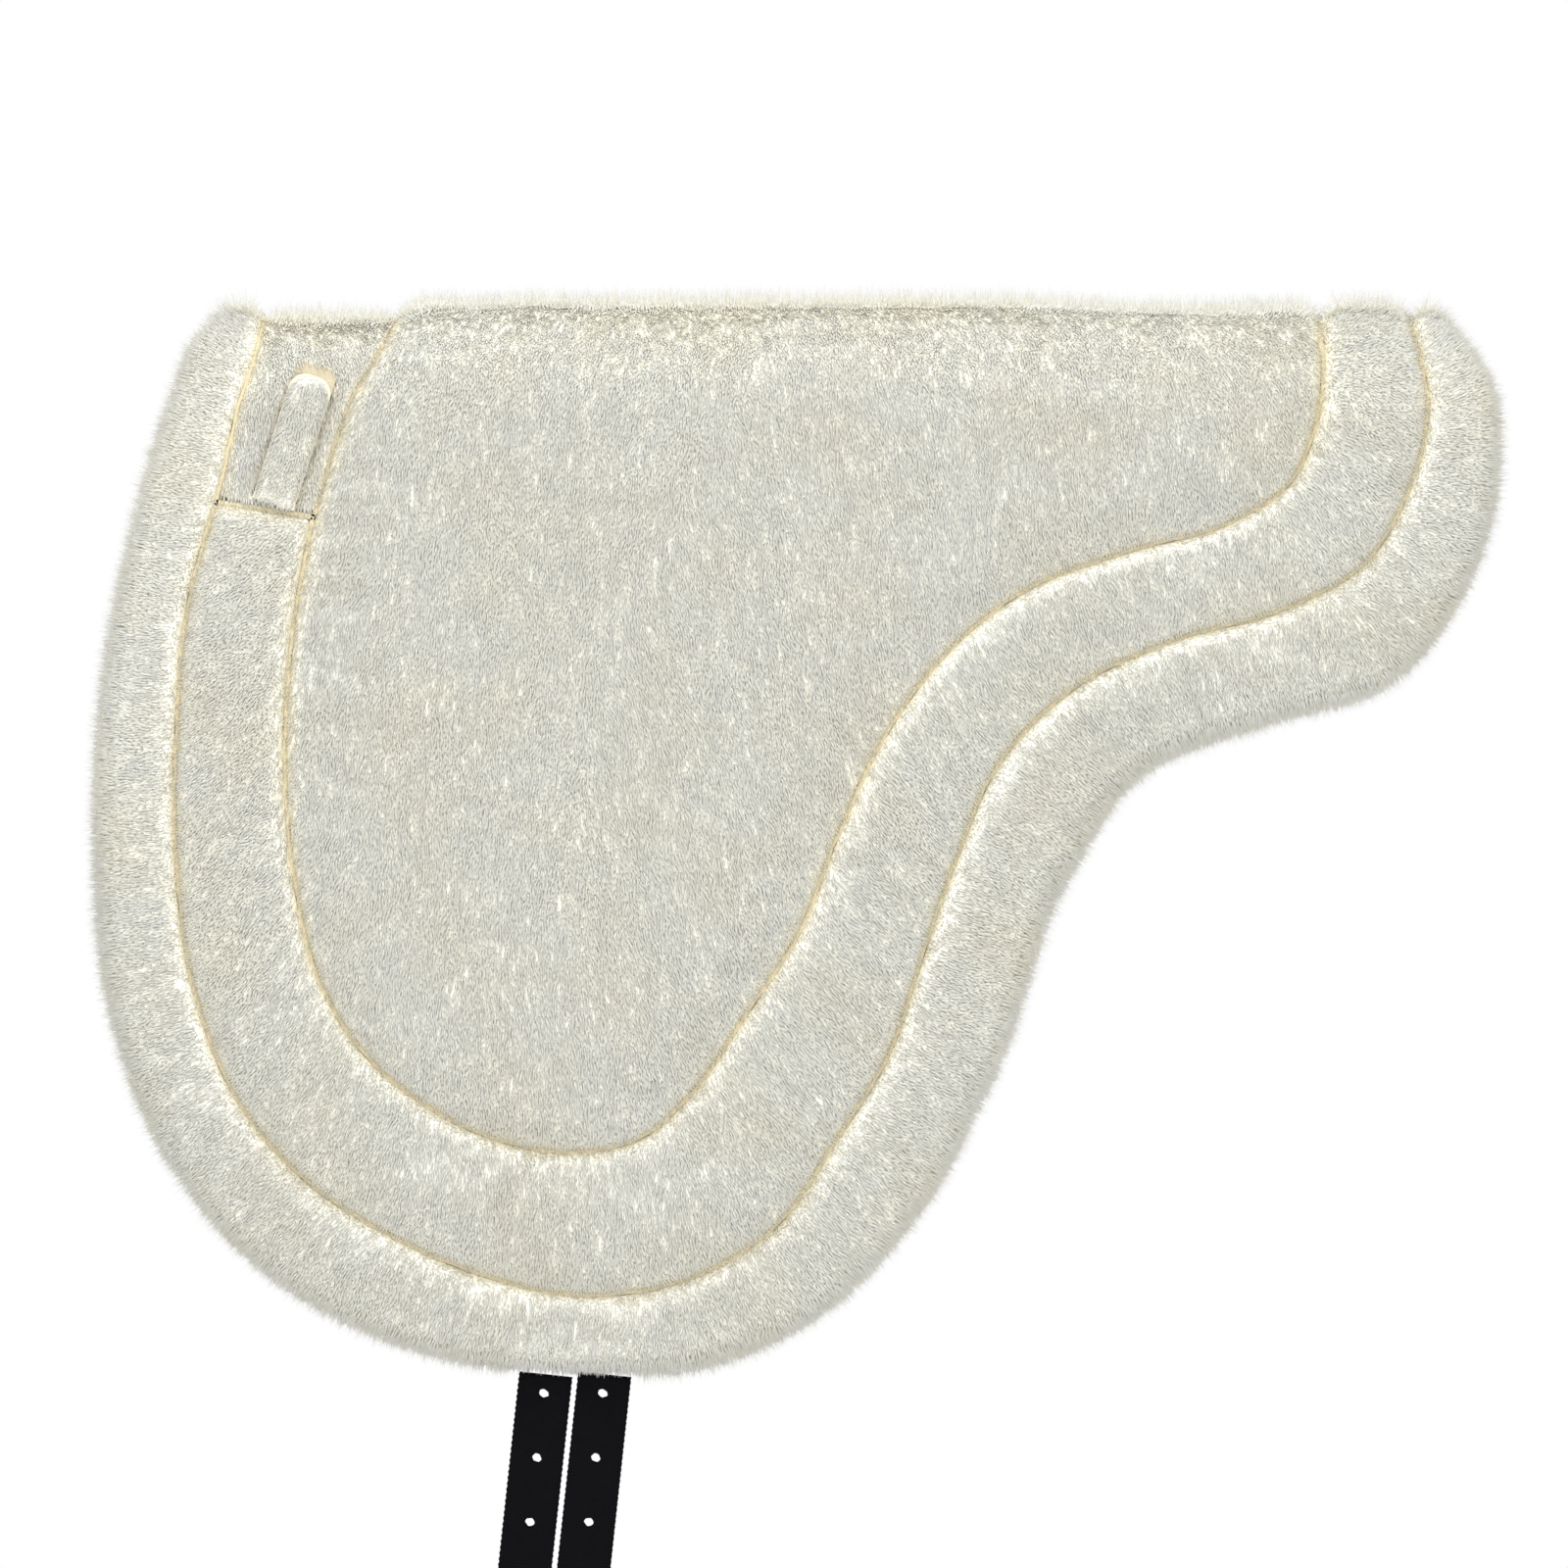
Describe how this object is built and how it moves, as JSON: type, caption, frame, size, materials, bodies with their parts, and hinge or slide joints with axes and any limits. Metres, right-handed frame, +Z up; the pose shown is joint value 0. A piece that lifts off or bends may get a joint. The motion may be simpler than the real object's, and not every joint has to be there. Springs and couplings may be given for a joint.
{
  "type": "fleece saddle pad with girth billets",
  "caption": "Saddle-shaped fleece pad hung folded over its spine, with quilted rim, band and seat, lift-up wither tabs, and punched webbing girth billets at the hem.",
  "frame": {"origin": "underside of the fold, at the top of the spine channel, above the girth line", "axes": "+Z up, -X to the withers at the front, +X to the cantle, -Y the near side, +Y the off side"},
  "size_m": [0.6531, 0.096, 0.7437],
  "materials": {
    "fleece": "matte",
    "lining_fleece": "matte",
    "foam": "matte",
    "webbing": "satin",
    "tab_webbing": "matte",
    "hook_and_loop": "matte",
    "seam_thread": "matte"
  },
  "bodies": {
    "spine": {"cantle_band_cover": "fleece", "cantle_band_foam": "foam", "cantle_inner_seam": "seam_thread", "cantle_outer_seam": "seam_thread", "cantle_rim_cover": "fleece", "cantle_rim_foam": "foam", "front_girth_web": "webbing", "near_cross_seam": "seam_thread", "near_loop_patch": "hook_and_loop", "off_cross_seam": "seam_thread", "off_loop_patch": "hook_and_loop", "rear_girth_web": "webbing", "spine_lining": "lining_fleece", "spine_seat_cover": "fleece", "spine_seat_foam": "foam", "wither_panel": "fleece", "withers_inner_seam": "seam_thread", "withers_outer_seam": "seam_thread", "withers_rim_cover": "fleece", "withers_rim_foam": "foam"},
    "near_flap": {"near_rim_cover": "fleece", "near_band_cover": "fleece", "near_seat_cover": "fleece", "near_rim_foam": "foam", "near_band_foam": "foam", "near_seat_foam": "foam", "near_lining": "lining_fleece", "near_outer_seam": "seam_thread", "near_inner_seam": "seam_thread", "near_front_web": "webbing", "near_rear_web": "webbing"},
    "off_flap": {"off_rim_cover": "fleece", "off_band_cover": "fleece", "off_seat_cover": "fleece", "off_rim_foam": "foam", "off_band_foam": "foam", "off_seat_foam": "foam", "off_lining": "lining_fleece", "off_outer_seam": "seam_thread", "off_inner_seam": "seam_thread", "off_front_web": "webbing", "off_rear_web": "webbing"},
    "near_front_billet": {"near_front_billet": "webbing"},
    "near_rear_billet": {"near_rear_billet": "webbing"},
    "near_tab": {"near_tab_cover": "fleece", "near_tab_web": "tab_webbing", "near_tab_hook_patch": "hook_and_loop"},
    "off_front_billet": {"off_front_billet": "webbing"},
    "off_rear_billet": {"off_rear_billet": "webbing"},
    "off_tab": {"off_tab_cover": "fleece", "off_tab_web": "tab_webbing", "off_tab_hook_patch": "hook_and_loop"}
  },
  "joints": [
    {"name": "near_flap_fold", "type": "hinge", "parent": "spine", "child": "near_flap", "pos_m": [0.1, -0.036, -0.0883], "axis": [-1, 0, 0], "range_deg": [-1.5, 90]},
    {"name": "near_front_billet_swing", "type": "hinge", "parent": "near_flap", "child": "near_front_billet", "pos_m": [-0.01365, -0.03025, -0.4745], "axis": [-0.9942, 0, 0.108], "range_deg": [-2, 85]},
    {"name": "near_rear_billet_swing", "type": "hinge", "parent": "near_flap", "child": "near_rear_billet", "pos_m": [0.01365, -0.03025, -0.4745], "axis": [-0.9942, 0, 0.108], "range_deg": [-2, 85]},
    {"name": "near_tab_lift", "type": "hinge", "parent": "spine", "child": "near_tab", "pos_m": [-0.139, -0.04405, -0.066], "axis": [0.9511, 0, -0.309], "range_deg": [0, 90]},
    {"name": "off_flap_fold", "type": "hinge", "parent": "spine", "child": "off_flap", "pos_m": [0.1, 0.036, -0.0883], "axis": [1, 0, 0], "range_deg": [-1.5, 90]},
    {"name": "off_front_billet_swing", "type": "hinge", "parent": "off_flap", "child": "off_front_billet", "pos_m": [-0.01365, 0.03025, -0.4745], "axis": [0.9942, 0, -0.108], "range_deg": [-2, 85]},
    {"name": "off_rear_billet_swing", "type": "hinge", "parent": "off_flap", "child": "off_rear_billet", "pos_m": [0.01365, 0.03025, -0.4745], "axis": [0.9942, 0, -0.108], "range_deg": [-2, 85]},
    {"name": "off_tab_lift", "type": "hinge", "parent": "spine", "child": "off_tab", "pos_m": [-0.139, 0.04405, -0.066], "axis": [-0.9511, 0, 0.309], "range_deg": [0, 90]}
  ]
}
